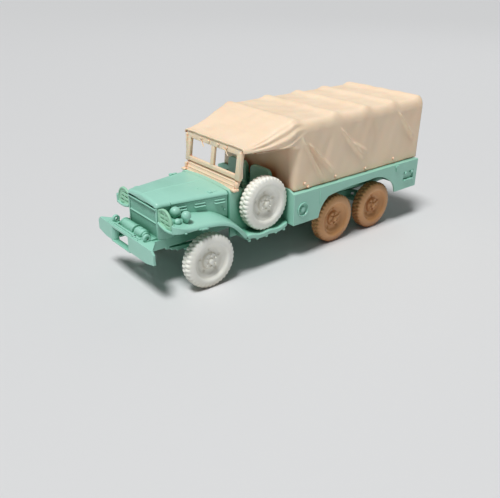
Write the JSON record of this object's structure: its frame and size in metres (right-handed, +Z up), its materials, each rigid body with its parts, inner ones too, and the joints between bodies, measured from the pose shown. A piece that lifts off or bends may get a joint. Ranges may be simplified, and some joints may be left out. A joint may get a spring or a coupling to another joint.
{
  "type": "plastic scale model of a military cargo truck",
  "caption": "Plastic scale model of a six-wheeled military cargo truck with a canvas-covered bed, front winch, open cab and side-mounted spare wheel; road wheels turn on stub pins.",
  "frame": {"origin": "centre of the bounding box at ground level, under the tyres", "axes": "-Y is the truck's front, +X its own left side with the spare wheel, +Z up"},
  "size_m": [0.0292, 0.08, 0.0326],
  "materials": {
    "mint_green": "satin",
    "yellow_green": "satin",
    "canvas_cream": "matte",
    "tan_brown": "satin",
    "milky_white": "satin"
  },
  "bodies": {
    "truck": {"bumper": "mint_green", "winch": "mint_green", "tow_rings": "mint_green", "frame": "mint_green", "front_axle": "mint_green", "rear_axle_first": "mint_green", "rear_axle_second": "mint_green", "front_springs": "mint_green", "trunnion": "mint_green", "rear_springs": "mint_green", "torque_rods": "mint_green", "engine": "mint_green", "transfer_case": "mint_green", "prop_shafts": "mint_green", "hood": "mint_green", "nose": "mint_green", "grille": "mint_green", "fender_left": "mint_green", "fender_right": "mint_green", "guard_left": "yellow_green", "guard_right": "yellow_green", "lamps_left": "mint_green", "lamps_right": "mint_green", "cab": "mint_green", "seat_left": "mint_green", "seat_right": "mint_green", "steering": "mint_green", "windscreen": "canvas_cream", "wipers": "canvas_cream", "bed": "mint_green", "tailgate": "mint_green", "cover": "canvas_cream", "fuel_tank": "mint_green", "exhaust": "mint_green", "tail_lamps": "mint_green", "tow_hook": "mint_green", "spare_carrier": "mint_green", "spare_wheel": "milky_white"},
    "wheel_front_left": {"wheel_front_left": "milky_white"},
    "wheel_front_right": {"wheel_front_right": "milky_white"},
    "wheel_middle_left": {"wheel_middle_left": "tan_brown"},
    "wheel_middle_right": {"wheel_middle_right": "tan_brown"},
    "wheel_rear_left": {"wheel_rear_left": "tan_brown"},
    "wheel_rear_right": {"wheel_rear_right": "tan_brown"}
  },
  "joints": [
    {"name": "wheel_front_left_spin", "type": "hinge", "parent": "truck", "child": "wheel_front_left", "pos_m": [0.01165, -0.0269, 0.00607], "axis": [1, 0, 0], "continuous": true},
    {"name": "wheel_front_right_spin", "type": "hinge", "parent": "truck", "child": "wheel_front_right", "pos_m": [-0.01165, -0.0269, 0.00607], "axis": [1, 0, 0], "continuous": true},
    {"name": "wheel_middle_left_spin", "type": "hinge", "parent": "truck", "child": "wheel_middle_left", "pos_m": [0.01165, 0.01036, 0.00607], "axis": [1, 0, 0], "continuous": true},
    {"name": "wheel_middle_right_spin", "type": "hinge", "parent": "truck", "child": "wheel_middle_right", "pos_m": [-0.01165, 0.01036, 0.00607], "axis": [1, 0, 0], "continuous": true},
    {"name": "wheel_rear_left_spin", "type": "hinge", "parent": "truck", "child": "wheel_rear_left", "pos_m": [0.01165, 0.02481, 0.00607], "axis": [1, 0, 0], "continuous": true},
    {"name": "wheel_rear_right_spin", "type": "hinge", "parent": "truck", "child": "wheel_rear_right", "pos_m": [-0.01165, 0.02481, 0.00607], "axis": [1, 0, 0], "continuous": true}
  ]
}
